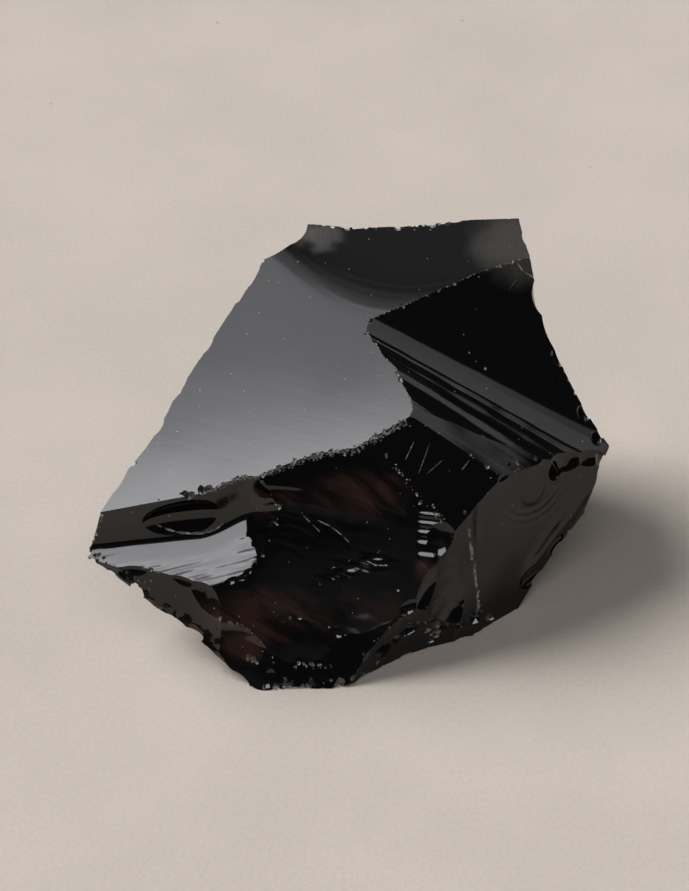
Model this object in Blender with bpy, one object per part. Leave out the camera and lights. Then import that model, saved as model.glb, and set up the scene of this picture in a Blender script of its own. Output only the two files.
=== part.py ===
# Obsidian chunk: one piece of volcanic glass, bounded by the scars of the flakes struck from it.
# A block is cut by one closed cutter for each scar. A scar is a sheet seen from outside: a point
# on it, the way it faces, a direction along it, how far it bows in, and any relief of its own.
# Scars are given in millimetres with the floor at height 0; the scene itself is in metres.

import bmesh
import bpy
import numpy as np
from mathutils import Matrix, Vector

NODE_NAME = "obsidian_chunk"
MM = 0.001

BLOCK_SIZE = (86.0, 72.0, 52.0)   # block that the scars are cut from
BLOCK_CENTRE = (0.0, 0.0, 22.0)
SEAT = (-0.97, 2.78, 0.0)      # brings the middle of the finished outline over the origin
CELL = 1.4                    # grid of a curved scar
CUTTER_HEIGHT = 70.0          # how far a cutter stands out of the stone
FLAT_REACH = (-80.0, 80.0, -80.0, 80.0)
CREASE_ANGLE = 0.42           # edges sharper than this stay crisp in shading

GLASS_COLOUR = (0.012, 0.011, 0.012, 1.0)
GLASS_ROUGHNESS = 0.05
GLASS_IOR = 1.5

# Big smooth top face: it rolls over toward the back edge beyond a curved line.
ROLL_LINE = 33.0              # distance of that line up the face
ROLL_MIDDLE = 46.0            # where along the face the line lies lowest
ROLL_BEND_LEFT = 0.030
ROLL_BEND_RIGHT = 0.0135
ROLL_FALL = 0.16
ROLL_SOFTNESS = 2.2

# Fluted scar on the right: the same cross-section all along its direction, (across, height).
GUTTER_SECTION = (
    (-24.0, 4.2), (-17.8, 4.8), (-13.7, 4.9), (-9.5, 4.3), (-6.9, 3.2), (-4.6, 1.9), (-2.4, 0.8),
    (-1.2, 0.2), (0.0, 0.0), (1.8, -0.1), (4.3, 0.1), (8.1, 0.6), (11.7, 1.5), (16.0, 2.7),
    (20.4, 4.3), (30.0, 8.2),
)

# Hollow under the left of the front ridge: steep wall, rounded foot, then a shelf, (up, height).
SHELF_SECTION = (
    (-30.0, 5.0), (-20.0, 2.0), (-14.0, -1.6), (-10.0, -3.7), (-7.5, -4.8), (-6.0, -5.1),
    (-4.4, -4.3), (0.0, -0.3), (6.0, 6.0), (14.0, 15.0),
)
SHELF_END = (4.0, 16.0)       # where along the ridge the shelf runs out
SHELF_RISE = 7.0


def smooth_step(value, start, end):
    share = np.clip((value - start) / (end - start), 0.0, 1.0)
    return share * share * (3.0 - 2.0 * share)


def section_height(value, section):
    """Height of a section at value, a cubic through its points that never overshoots them."""
    places = np.array([point[0] for point in section])
    heights = np.array([point[1] for point in section])
    widths = np.diff(places)
    slopes = np.diff(heights) / widths
    same_way = slopes[:-1] * slopes[1:] > 0.0
    means = 2.0 * slopes[:-1] * slopes[1:] / np.where(same_way, slopes[:-1] + slopes[1:], 1.0)
    tangents = np.concatenate([slopes[:1], np.where(same_way, means, 0.0), slopes[-1:]])
    value = np.clip(value, places[0], places[-1])
    span = np.clip(np.searchsorted(places, value) - 1, 0, len(widths) - 1)
    share = (value - places[span]) / widths[span]
    start = heights[span] * (2.0 * share**3 - 3.0 * share**2 + 1.0)
    start = start + widths[span] * tangents[span] * (share**3 - 2.0 * share**2 + share)
    end = heights[span + 1] * (3.0 * share**2 - 2.0 * share**3)
    return start + end + widths[span] * tangents[span + 1] * (share**3 - share**2)


def roll_over(s, q):
    """The top face falls away past its roll line."""
    bend = np.where(s < ROLL_MIDDLE, ROLL_BEND_LEFT, ROLL_BEND_RIGHT)
    past = q - ROLL_LINE - bend * (s - ROLL_MIDDLE) ** 2
    return -ROLL_FALL * ROLL_SOFTNESS * np.logaddexp(0.0, past / ROLL_SOFTNESS)


def gutter(s, q):
    return section_height(q, GUTTER_SECTION)


def shelf(s, q):
    return section_height(q, SHELF_SECTION) + SHELF_RISE * smooth_step(s, *SHELF_END)


def ripples(strike, spacing, height, fade):
    """Rings round the point that the blow struck, as on any flake of glass."""
    def relief(s, q):
        distance = np.hypot(s - strike[0], q - strike[1])
        return height * np.exp(-distance / fade) * np.cos(2.0 * np.pi * distance / spacing)
    return relief


# name, point, facing, along, bow along and across (1 / radius), reach (s from, s to, q from, q to)
SCARS = (
    dict(name="base", at=(5, -15, 0), facing=(0, 0, -1)),
    dict(name="front", at=(-13.8, -23.0, 15.2), facing=(0.03, -0.80, 0.60)),
    dict(name="back", at=(9.1, 27.9, 35.9), facing=(0.025, 0.98, -0.20)),
    dict(name="left_side", at=(-22.2, 4.4, 30.4), facing=(-0.87, 0.42, 0.20), along=(24, 43, 17)),
    dict(name="nose", at=(-37.4, -21.0, 16), facing=(-0.93, -0.3, 0.1)),
    dict(name="wedge", at=(13.5, -13.05, 24.3), facing=(0.135, -0.636, 0.76)),
    dict(name="top", at=(-35.6, -19.3, 21.0), facing=(-0.101, -0.312, 0.945), relief=roll_over,
         reach=(-20, 92, -20, 76)),
    dict(name="right_side", at=(33.7, 4.8, 28.0), facing=(0.89, 0.45, 0.08), bow=(1 / 65, 1 / 65),
         along=(11.3, -21.2, -19.2), reach=(-60, 60, -60, 60)),
    dict(name="left_under", at=(-30.6, -13.8, 12.3), facing=(-0.50, 0.22, -0.84),
         bow=(1 / 90, 1 / 90), reach=(-60, 60, -60, 60)),
    dict(name="left_toe", at=(-28.2, -24.7, 7.4), facing=(-0.43, -0.20, -0.88), along=(1, -0.6, -0.4),
         bow=(1 / 80, 1 / 80), reach=(-50, 50, -50, 50)),
    dict(name="right_under", at=(32.4, -10.1, 6.6), facing=(0.69, 0.02, -0.72),
         along=(0.72, 0.0, 0.69), bow=(1 / 160, 1 / 160), reach=(-50, 50, -50, 50)),
    dict(name="right_tip", at=(37.3, -5.7, 14.0), facing=(0.93, 0.15, -0.33), along=(0, 1, 0.45),
         bow=(1 / 70, 1 / 70), reach=(-50, 50, -50, 50)),
    dict(name="back_under", at=(14, 18, 9), facing=(0.16, 0.80, -0.58), bow=(1 / 60, 1 / 70),
         relief=ripples((0, -22), 7.5, 0.35, 26), reach=(-50, 50, -50, 50)),
    dict(name="back_left", at=(-13, 13, 13), facing=(-0.55, 0.58, -0.60), bow=(1 / 45, 1 / 60),
         relief=ripples((4, -20), 6.5, 0.3, 24), reach=(-44, 44, -44, 44)),
    dict(name="back_bowl", at=(4, 24.6, 25), facing=(0.05, 0.97, -0.22), bow=(1 / 45, 1 / 34),
         relief=ripples((-2, -15), 5.5, 0.25, 14), reach=(-30, 30, -30, 30)),
    dict(name="side_bowl", at=(-24.5, -4, 21.5), facing=(-0.87, 0.47, -0.15), bow=(1 / 38, 1 / 17),
         along=(24, 43, 17), relief=ripples((-4, 12), 4.5, 0.2, 12), reach=(-22, 22, -20, 20)),
    dict(name="side_hollow", at=(-14.5, 14, 25), facing=(-0.84, 0.50, -0.2), bow=(1 / 28, 1 / 22),
         along=(24, 43, 17), relief=ripples((3, 14), 5.0, 0.22, 12), reach=(-22, 22, -22, 22)),
    dict(name="right_bowl", at=(31.0, 12, 21), facing=(0.88, 0.44, -0.2), bow=(1 / 36, 1 / 28),
         along=(11.3, -21.2, -19.2), relief=ripples((2, 14), 5.0, 0.22, 14),
         reach=(-26, 26, -24, 24)),
    dict(name="back_notch", at=(-9.4, 24.3, 37.7), facing=(-0.25, 0.96, 0.0), bow=(1 / 3.2, 1 / 12),
         reach=(-7, 7, -12, 9), cells=(20, 12)),
    dict(name="band", at=(9.2, -7.8, 29.8), facing=(0.30, -0.38, 0.87), along=(0.85, -0.31, -0.42),
         reach=(-30, 44, -20, 6)),
    dict(name="gutter", at=(3.4, 8.6, 34.4), facing=(0.16, -0.49, 0.86), along=(0.88, -0.32, -0.35),
         relief=gutter, reach=(-24, 66, -24, 34), cells=(1, 44)),
    dict(name="shelf", at=(-18.8, -17.1, 23.5), facing=(0.06, -0.71, 0.70), along=(1, 0.06, 0.09),
         relief=shelf, reach=(-30, 40, -30, 13)),
    dict(name="centre", at=(3.0, -21.1, 13.8), facing=(-0.04, -0.74, 0.67), bow=(1 / 55, 1 / 60),
         reach=(-34, 34, -34, 34)),
    dict(name="right_face", at=(25.2, -13.7, 11.4), facing=(0.58, -0.79, 0.21),
         bow=(1 / 90, 1 / 90), along=(1, 0.7, 0), reach=(-50, 50, -50, 50)),
    dict(name="oval", at=(16.2, -21.65, 8.4), facing=(0.45, -0.85, 0.28), bow=(1 / 10, 1 / 30),
         reach=(-8, 8, -14, 14), cells=(16, 10)),
    dict(name="heel", at=(9.6, -26.6, 2.5), facing=(0.47, -0.88, 0.05), bow=(1 / 35, 1 / 35),
         reach=(-24, 24, -24, 24)),
    dict(name="low_left", at=(-28.7, -24.1, 10.0), facing=(-0.44, -0.90, -0.06),
         along=(1, -0.2, -0.3), bow=(1 / 60, 1 / 60), reach=(-30, 30, -30, 30)),
    dict(name="low_shell", at=(-22.8, -26.5, 6.4), facing=(-0.36, -0.85, 0.39), bow=(1 / 25, 1 / 30),
         reach=(-18, 18, -18, 18)),
    dict(name="low_arch", at=(-15.2, -30.5, 3.7), facing=(-0.06, -0.84, 0.54), bow=(1 / 18, 1 / 18),
         reach=(-14, 14, -14, 14)),
    dict(name="low_middle", at=(-6.5, -28.2, 7.3), facing=(0.05, -0.84, 0.54), bow=(1 / 28, 1 / 22),
         reach=(-18, 18, -18, 18)),
)


def axes_of(scar):
    """Unit vectors of a scar: out of the stone, along, across."""
    out = Vector(scar["facing"]).normalized()
    along = Vector(scar.get("along", (1.0, 0.0, 0.0)))
    along = (along - out * along.dot(out)).normalized()
    return out, along, out.cross(along)


def scar_height(scar, s, q):
    bow_s, bow_q = scar.get("bow", (0.0, 0.0))
    height = 0.5 * bow_s * s * s + 0.5 * bow_q * q * q
    if "relief" in scar:
        height = height + scar["relief"](s, q)
    return height


def make_cutter(scar, collection):
    """A closed block whose underside is the scar's surface."""
    curved = "bow" in scar or "relief" in scar
    s_from, s_to, q_from, q_to = scar.get("reach", FLAT_REACH)
    cells = (round((s_to - s_from) / CELL), round((q_to - q_from) / CELL)) if curved else (1, 1)
    cells = scar.get("cells", cells)
    shape = bmesh.new()
    bmesh.ops.create_grid(shape, x_segments=cells[0], y_segments=cells[1], size=0.5)
    sheet = list(shape.verts)
    s = np.array([s_from + (vert.co.x + 0.5) * (s_to - s_from) for vert in sheet])
    q = np.array([q_from + (vert.co.y + 0.5) * (q_to - q_from) for vert in sheet])
    for vert, *place in zip(sheet, s, q, scar_height(scar, s, q)):
        vert.co = place
    lid = bmesh.ops.extrude_face_region(shape, geom=list(shape.faces))["geom"]
    for vert in (item for item in lid if isinstance(item, bmesh.types.BMVert)):
        vert.co.z = CUTTER_HEIGHT
    bmesh.ops.recalc_face_normals(shape, faces=list(shape.faces))
    out, along, across = axes_of(scar)
    place = Matrix.Translation(Vector(scar["at"])) @ Matrix((along, across, out)).transposed().to_4x4()
    shape.transform(Matrix.Scale(MM, 4) @ Matrix.Translation(Vector(SEAT)) @ place)
    mesh = bpy.data.meshes.new("cutter_" + scar["name"])
    shape.to_mesh(mesh)
    shape.free()
    cutter = bpy.data.objects.new(mesh.name, mesh)
    cutter.hide_render = True
    cutter.display_type = "WIRE"
    collection.objects.link(cutter)
    return cutter


def make_block():
    shape = bmesh.new()
    bmesh.ops.create_cube(shape, size=MM)
    shape.transform(Matrix.Diagonal(Vector(BLOCK_SIZE)).to_4x4())
    shape.transform(Matrix.Translation(Vector(BLOCK_CENTRE) * MM))
    mesh = bpy.data.meshes.new(NODE_NAME)
    shape.to_mesh(mesh)
    shape.free()
    block = bpy.data.objects.new(NODE_NAME, mesh)
    bpy.context.scene.collection.objects.link(block)
    return block


def knap(block, cutters):
    """Cuts every scar in turn and keeps the outcome as the object's own mesh."""
    for cutter in cutters:
        cut = block.modifiers.new(cutter.name, "BOOLEAN")
        cut.operation = "DIFFERENCE"
        cut.solver = "EXACT"
        cut.object = cutter
    graph = bpy.context.evaluated_depsgraph_get()
    cut_mesh = bpy.data.meshes.new_from_object(block.evaluated_get(graph))
    block.modifiers.clear()
    block.data = cut_mesh
    cut_mesh.name = NODE_NAME
    cut_mesh.shade_smooth()
    cut_mesh.set_sharp_from_angle(angle=CREASE_ANGLE)


def glass_material():
    material = bpy.data.materials.new("volcanic_glass")
    material.use_nodes = True
    shader = material.node_tree.nodes["Principled BSDF"]
    shader.inputs["Base Color"].default_value = GLASS_COLOUR
    shader.inputs["Roughness"].default_value = GLASS_ROUGHNESS
    shader.inputs["IOR"].default_value = GLASS_IOR
    return material


def main():
    for old in list(bpy.data.objects):
        bpy.data.objects.remove(old, do_unlink=True)
    cutter_collection = bpy.data.collections.new("cutters")
    bpy.context.scene.collection.children.link(cutter_collection)
    cutters = [make_cutter(scar, cutter_collection) for scar in SCARS]
    stone = make_block()
    knap(stone, cutters)
    stone.data.materials.clear()
    stone.data.materials.append(glass_material())


main()
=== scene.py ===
import math

import bmesh
import bpy
import numpy as np
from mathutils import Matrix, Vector


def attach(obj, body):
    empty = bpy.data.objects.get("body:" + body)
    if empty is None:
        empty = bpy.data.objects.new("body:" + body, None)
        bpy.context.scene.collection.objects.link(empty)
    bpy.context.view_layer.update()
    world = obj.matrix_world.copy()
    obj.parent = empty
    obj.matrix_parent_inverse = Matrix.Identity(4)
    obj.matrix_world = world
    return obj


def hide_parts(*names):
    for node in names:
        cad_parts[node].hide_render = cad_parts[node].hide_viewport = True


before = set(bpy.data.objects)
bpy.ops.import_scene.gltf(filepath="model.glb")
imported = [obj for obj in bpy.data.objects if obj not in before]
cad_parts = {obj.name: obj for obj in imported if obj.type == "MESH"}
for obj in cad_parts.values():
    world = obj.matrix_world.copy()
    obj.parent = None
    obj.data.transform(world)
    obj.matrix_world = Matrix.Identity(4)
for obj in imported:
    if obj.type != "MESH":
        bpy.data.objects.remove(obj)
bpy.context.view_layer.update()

mm = 0.001

# what to change for another chunk of glass
stone = dict(
    block=((86.0, 72.0, 52.0), (0.0, 0.0, 22.0)),   # size and middle of the raw block, mm
    seat=(-0.97, 2.78, 0.0),                        # moves the scars so the chunk sits over the origin
    cell=0.5,                                       # grid of a scar's surface, mm
    inset=0.03,                                     # keeps every scar just inside the solid it stands for
    seed=11,
)


def smoothStep(value, start, end):
    share = np.clip((value - start) / (end - start), 0.0, 1.0)
    return share * share * (3.0 - 2.0 * share)


def softLimit(value, softness):
    return softness * np.logaddexp(0.0, value / softness)


def sectionHeight(value, section):
    # cubic through the section's points that never overshoots them
    places = np.array([point[0] for point in section])
    heights = np.array([point[1] for point in section])
    widths = np.diff(places)
    slopes = np.diff(heights) / widths
    sameWay = slopes[:-1] * slopes[1:] > 0.0
    means = 2.0 * slopes[:-1] * slopes[1:] / np.where(sameWay, slopes[:-1] + slopes[1:], 1.0)
    tangents = np.concatenate([slopes[:1], np.where(sameWay, means, 0.0), slopes[-1:]])
    value = np.clip(value, places[0], places[-1])
    span = np.clip(np.searchsorted(places, value) - 1, 0, len(widths) - 1)
    share = (value - places[span]) / widths[span]
    start = heights[span] * (2.0 * share**3 - 3.0 * share**2 + 1.0)
    start = start + widths[span] * tangents[span] * (share**3 - 2.0 * share**2 + share)
    end = heights[span + 1] * (3.0 * share**2 - 2.0 * share**3)
    return start + end + widths[span] * tangents[span + 1] * (share**3 - share**2)


chance = np.random.default_rng(stone["seed"]).uniform(-1.0, 1.0, 1024)


def unevenness(u, v=0.0):
    # smooth chance heights between -1 and 1, one wave per unit
    u, v = np.broadcast_arrays(np.asarray(u, float), np.asarray(v, float))
    column, row = np.floor(u).astype(int), np.floor(v).astype(int)
    shareU, shareV = smoothStep(u - column, 0.0, 1.0), smoothStep(v - row, 0.0, 1.0)

    def at(i, j):
        return chance[(i * 57 + j * 131) % 1024]
    near = at(column, row) * (1.0 - shareU) + at(column + 1, row) * shareU
    far = at(column, row + 1) * (1.0 - shareU) + at(column + 1, row + 1) * shareU
    return near * (1.0 - shareV) + far * shareV


def swell(s, q, middle, size):
    return np.exp(-((s - middle[0]) / size[0]) ** 2 - ((q - middle[1]) / size[1]) ** 2)


def rings(s, q, strike, spacing, height, fade):
    # ripples round the point that the blow struck
    distance = np.hypot(s - strike[0], q - strike[1])
    return height * np.exp(-distance / fade) * np.cos(2.0 * np.pi * distance / spacing)


def topRelief(s, q):
    # the big smooth top rolls over toward the back edge beyond a curved line
    past = q - 33.0 - np.where(s < 46.0, 0.030, 0.0135) * (s - 46.0) ** 2
    height = -0.16 * softLimit(past, 2.2)
    height += 0.30 * swell(s, q, (31.4, 51.8), (3.4, 3.4))          # knob at the back corner
    height -= 0.11 * softLimit(s - 55.5 + 0.1 * (q - 46.0), 1.0)    # turned-down right end
    along = s + 0.6 * q
    feather = unevenness(past * 1.1 + 0.25 * unevenness(along * 0.3), along * 0.08)
    height += 0.015 * feather * np.exp(-((past + 0.5) / 4.5) ** 2)
    height += 0.0006 * unevenness((q + 0.35 * s) * 1.7, along * 0.05)
    return height + 0.012 * unevenness(s * 0.11, q * 0.11)


# cross-section of the fluted scar on the right, (across, height): soft on one side, stepped on the other
gutterSection = (
    (-24.0, 4.2), (-17.8, 4.9), (-12.4, 4.78), (-10.1, 4.28), (-9.9, 4.2), (-7.0, 2.96), (-5.95, 2.68),
    (-5.75, 2.58), (-4.75, 1.74), (-4.6, 1.66), (-3.3, 1.18), (-3.15, 1.1), (-2.65, 0.74), (-2.5, 0.68),
    (-1.75, 0.44), (-1.6, 0.38), (-1.3, 0.20), (-1.15, 0.16), (0.0, -0.06), (1.0, -0.13), (1.8, -0.13),
    (3.0, -0.05), (4.3, 0.1), (8.1, 0.54), (11.7, 0.95), (16.0, 1.45), (20.4, 1.95), (30.0, 3.2),
)


def gutterRelief(s, q):
    drift = 0.25 * unevenness(s * 0.09, 3.0) + 0.06 * unevenness(s * 0.5, q * 0.4)
    across = q * (1.0 + 0.012 * (20.0 - s)) + drift
    height = sectionHeight(across, gutterSection)
    height += 0.008 * unevenness(across * 3.1, s * 0.04) * smoothStep(-across, 1.2, 2.0)
    return height + 0.010 * unevenness(s * 0.12, q * 0.16)


# hollow under the left of the front ridge: steep wall, rounded foot, then a shelf, (up, height)
shelfSection = (
    (-30.0, 5.0), (-20.0, 2.0), (-14.0, -1.6), (-10.0, -3.7), (-7.5, -4.8), (-6.0, -5.1),
    (-4.4, -4.3), (0.0, -0.3), (6.0, 6.0), (14.0, 15.0),
)


def bandRelief(s, q):
    return 0.03 * unevenness(s * 0.22, q * 0.3) + 0.008 * unevenness(s * 0.15, q * 1.7)


def shelfRelief(s, q):
    # the foot of the wall climbs to the right; fine ridges fray the shelf's far end
    climb = 2.4 * smoothStep(s, -3.0, 6.0)
    down = smoothStep(-q, 5.5, 7.5)
    ragged = 1.6 * unevenness(q * 0.75 + 0.3 * s, s * 0.12) + 0.3 * unevenness(q * 2.6, s * 0.2)
    ragged *= down * smoothStep(-s, -7.5, -4.5)
    height = sectionHeight(q - climb, shelfSection) + 7.0 * smoothStep(s + ragged, 3.6, 15.0)
    height += down * 0.012 * unevenness(q * 1.3 + 0.1 * s, s * 0.16)
    frayed = smoothStep(-q - 0.25 * s, 9.0, 12.0) + smoothStep(s, 1.0, 4.0)
    height += down * frayed * 0.05 * unevenness(q * 2.1 - 0.3 * s, s * 0.3)
    return height + 0.03 * unevenness(s * 0.25, q * 0.3)


def frontRelief(s, q):
    # broad waves sweep down to the right
    sweep = q + 0.16 * s + 0.012 * (s - 4.0) ** 2
    height = 0.10 * unevenness(sweep * 0.42, s * 0.05) + 0.035 * unevenness(sweep * 1.3, s * 0.09)
    return height + 0.002 * unevenness(sweep * 3.0, s * 0.2)


# crests of the bright ripples under the struck corner, up the scar
rippleCrests = (-1.9, 0.3, 2.1, 3.7, 5.1, 6.5, 7.8)

# thin ripple arcs: middle, radius, where the arc is strongest, how far it runs, height
rippleArcs = (
    dict(middle=(-13.0, -3.4), radius=9.8, at=(-10.7, 6.0), run=2.0, height=0.11),
    dict(middle=(-12.6, -2.6), radius=9.6, at=(-8.3, 6.0), run=1.7, height=0.10),
    dict(middle=(-11.4, -3.0), radius=10.4, at=(-4.8, 5.0), run=3.2, height=0.14),
    dict(middle=(-12.6, -2.6), radius=7.6, at=(-9.6, 4.3), run=2.0, height=0.08),
    dict(middle=(-15.0, -6.0), radius=8.8, at=(-10.5, 1.5), run=1.6, height=0.08),
)


def centreRelief(s, q):
    crest = np.interp(q + 0.12 * (s - 9.5), rippleCrests, np.arange(len(rippleCrests)))
    bars = smoothStep(s, 7.2, 8.4) * smoothStep(-s, -12.2, -11.2)
    bars = bars * smoothStep(q, -1.6, 0.2) * smoothStep(-q, -8.0, -6.6)
    height = 0.095 * bars * np.cos(2.0 * np.pi * crest)
    for arc in rippleArcs:
        distance = np.hypot(s - arc["middle"][0], q - arc["middle"][1]) - arc["radius"]
        height += arc["height"] * np.exp(-(distance / 0.28) ** 2) * swell(s, q, arc["at"], (arc["run"],) * 2)
    sweep = q + 0.16 * s + 0.012 * (s + 8.0) ** 2
    upper = smoothStep(q, 4.0, 8.0)
    height += upper * (0.22 * unevenness(sweep * 0.42, s * 0.05) + 0.05 * unevenness(sweep * 1.3, s * 0.09))
    rough = swell(s, q, (1.0, -0.6), (3.4, 1.5)) + 0.8 * swell(s, q, (-4.4, -2.0), (2.4, 1.3))
    height += 0.16 * rough * unevenness((s - 2.0 * q) * 0.45, (q + 0.4 * s) * 1.5)
    height += 0.10 * unevenness(s * 0.16 + 5.0, q * 0.2)
    lower = smoothStep(-q, 3.0, 6.0)
    height += lower * 0.07 * unevenness(s * 0.30 + 2.0, q * 0.34)
    return height + 0.012 * unevenness(s * 0.5, q * 0.9)


def rightRelief(s, q):
    # rounded tongue at the top, ripples round its end, slow waves below
    tongue = smoothStep(-np.hypot((s - 4.2) / 2.1, np.minimum(q - 6.6, 0.0) / 2.3), -1.12, -0.88)
    height = 0.22 * tongue
    distance = np.hypot(s - 4.4, q - 8.0)
    below = smoothStep(-q, -6.5, -4.0) * smoothStep(s, -4.0, -1.0)
    height += 0.045 * below * np.exp(-((distance - 5.2) / 1.6) ** 2) * np.cos(2.0 * np.pi * distance / 1.25)
    slit = swell(s, q, (-6.4, 5.6), (0.55, 2.6))
    height -= 0.30 * slit
    height += 0.25 * swell(s, q, (8.6, 8.2), (1.0, 2.2)) * unevenness(s * 1.3, q * 0.9)
    inward = 0.8 * q - 0.6 * s + 5.05 + 0.5 * unevenness(s * 0.2, 4.0)
    # ridges just inside the right edge
    height += 0.32 * np.exp(-((inward + 1.4) / 1.25) ** 2) * smoothStep(s, 0.0, 4.0)
    height += 0.30 * np.exp(-((s - 13.0 - 0.3 * q) / 1.4) ** 2) * smoothStep(q, 0.0, 3.0)
    return height + 0.16 * unevenness(s * 0.12 + 2.0, q * 0.14) + 0.02 * unevenness(s * 0.5, q * 0.35)


def lowRelief(s, q):
    return 0.10 * unevenness(s * 0.3, q * 0.35 + 7.0) + 0.03 * unevenness(s * 0.9, q * 1.1)


# name, point, facing, along, bow along and across (1 / radius), reach (s from, s to, q from, q to)
scars = (
    dict(name="base", at=(5, -15, 0), facing=(0, 0, -1)),
    dict(name="front", at=(-13.8, -23.0, 15.2), facing=(0.03, -0.80, 0.60), relief=frontRelief,
         cells=(0.7, 0.3), reach=(-40, 50, -40, 40)),
    dict(name="back", at=(9.1, 27.9, 35.9), facing=(0.025, 0.98, -0.20)),
    dict(name="leftSide", at=(-22.2, 4.4, 30.4), facing=(-0.87, 0.42, 0.20), along=(24, 43, 17)),
    dict(name="nose", at=(-37.4, -21.0, 16), facing=(-0.93, -0.3, 0.1)),
    dict(name="wedge", at=(13.5, -13.05, 24.3), facing=(0.135, -0.636, 0.76)),
    dict(name="top", at=(-35.6, -19.3, 21.0), facing=(-0.101, -0.312, 0.945), relief=topRelief,
         cells=(0.55, 0.4), reach=(-20, 92, -20, 76)),
    dict(name="rightSide", at=(33.7, 4.8, 28.0), facing=(0.89, 0.45, 0.08), bow=(1 / 65, 1 / 65),
         along=(11.3, -21.2, -19.2), reach=(-60, 60, -60, 60)),
    dict(name="leftUnder", at=(-30.6, -13.8, 12.3), facing=(-0.50, 0.22, -0.84),
         bow=(1 / 90, 1 / 90), reach=(-60, 60, -60, 60)),
    dict(name="leftToe", at=(-28.2, -24.7, 7.4), facing=(-0.43, -0.20, -0.88), along=(1, -0.6, -0.4),
         bow=(1 / 80, 1 / 80), reach=(-50, 50, -50, 50)),
    dict(name="rightUnder", at=(32.4, -10.1, 6.6), facing=(0.69, 0.02, -0.72),
         along=(0.72, 0.0, 0.69), bow=(1 / 160, 1 / 160), reach=(-50, 50, -50, 50)),
    dict(name="rightTip", at=(37.3, -5.7, 14.0), facing=(0.93, 0.15, -0.33), along=(0, 1, 0.45),
         bow=(1 / 70, 1 / 70), reach=(-50, 50, -50, 50)),
    dict(name="backUnder", at=(14, 18, 9), facing=(0.16, 0.80, -0.58), bow=(1 / 60, 1 / 70),
         rings=((0, -22), 7.5, 0.35, 26), reach=(-50, 50, -50, 50)),
    dict(name="backLeft", at=(-13, 13, 13), facing=(-0.55, 0.58, -0.60), bow=(1 / 45, 1 / 60),
         rings=((4, -20), 6.5, 0.3, 24), reach=(-44, 44, -44, 44)),
    dict(name="backBowl", at=(4, 24.6, 25), facing=(0.05, 0.97, -0.22), bow=(1 / 45, 1 / 34),
         rings=((-2, -15), 5.5, 0.25, 14), reach=(-30, 30, -30, 30)),
    dict(name="sideBowl", at=(-24.5, -4, 21.5), facing=(-0.87, 0.47, -0.15), bow=(1 / 38, 1 / 17),
         along=(24, 43, 17), rings=((-4, 12), 4.5, 0.2, 12), reach=(-22, 22, -20, 20)),
    dict(name="sideHollow", at=(-14.5, 14, 25), facing=(-0.84, 0.50, -0.2), bow=(1 / 28, 1 / 22),
         along=(24, 43, 17), rings=((3, 14), 5.0, 0.22, 12), reach=(-22, 22, -22, 22)),
    dict(name="rightBowl", at=(31.0, 12, 21), facing=(0.88, 0.44, -0.2), bow=(1 / 36, 1 / 28),
         along=(11.3, -21.2, -19.2), rings=((2, 14), 5.0, 0.22, 14), reach=(-26, 26, -24, 24)),
    dict(name="backNotch", at=(-9.4, 24.3, 37.7), facing=(-0.25, 0.96, 0.0), bow=(1 / 3.2, 1 / 12),
         reach=(-7, 7, -12, 9)),
    dict(name="band", at=(9.2, -7.8, 29.8), facing=(0.30, -0.38, 0.87), along=(0.85, -0.31, -0.42),
         relief=bandRelief, cells=(0.8, 0.3), reach=(-30, 44, -20, 6)),
    dict(name="gutter", at=(3.4, 8.6, 34.4), facing=(0.16, -0.49, 0.86), along=(0.88, -0.32, -0.35),
         relief=gutterRelief, cells=(1.2, 0.15), reach=(-24, 66, -24, 34)),
    dict(name="shelf", at=(-18.8, -17.1, 23.5), facing=(0.06, -0.71, 0.70), along=(1, 0.06, 0.09),
         relief=shelfRelief, cells=(0.7, 0.22), reach=(-30, 40, -30, 13)),
    dict(name="centre", at=(3.0, -21.1, 13.8), facing=(-0.04, -0.74, 0.67), bow=(1 / 55, 1 / 60),
         relief=centreRelief, cells=(0.3, 0.22), reach=(-34, 34, -34, 34)),
    dict(name="rightFace", at=(25.2, -13.7, 11.4), facing=(0.58, -0.79, 0.21),
         bow=(1 / 90, 1 / 90), along=(1, 0.7, 0), relief=rightRelief, cells=(0.3, 0.3),
         reach=(-36, 36, -36, 36)),
    dict(name="oval", at=(16.2, -21.65, 8.4), facing=(0.45, -0.85, 0.28), bow=(1 / 10, 1 / 30),
         relief=lowRelief, cells=(0.3, 0.3), reach=(-8, 8, -14, 14)),
    dict(name="heel", at=(9.6, -26.6, 2.5), facing=(0.47, -0.88, 0.05), bow=(1 / 35, 1 / 35),
         relief=lowRelief, reach=(-24, 24, -24, 24)),
    dict(name="lowLeft", at=(-28.7, -24.1, 10.0), facing=(-0.44, -0.90, -0.06),
         along=(1, -0.2, -0.3), bow=(1 / 60, 1 / 60), relief=lowRelief, reach=(-30, 30, -30, 30)),
    dict(name="lowShell", at=(-22.8, -26.5, 6.4), facing=(-0.36, -0.85, 0.39), bow=(1 / 25, 1 / 30),
         relief=lowRelief, reach=(-18, 18, -18, 18)),
    dict(name="lowArch", at=(-15.2, -30.5, 3.7), facing=(-0.06, -0.84, 0.54), bow=(1 / 18, 1 / 18),
         relief=lowRelief, reach=(-14, 14, -14, 14)),
    dict(name="lowMiddle", at=(-6.5, -28.2, 7.3), facing=(0.05, -0.84, 0.54), bow=(1 / 28, 1 / 22),
         relief=lowRelief, reach=(-18, 18, -18, 18)),
)


def axesOf(scar):
    # unit vectors along, across and out of the stone, as rows
    out = Vector(scar["facing"]).normalized()
    along = Vector(scar.get("along", (1.0, 0.0, 0.0)))
    along = (along - out * along.dot(out)).normalized()
    return np.array((along, out.cross(along), out))


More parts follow.
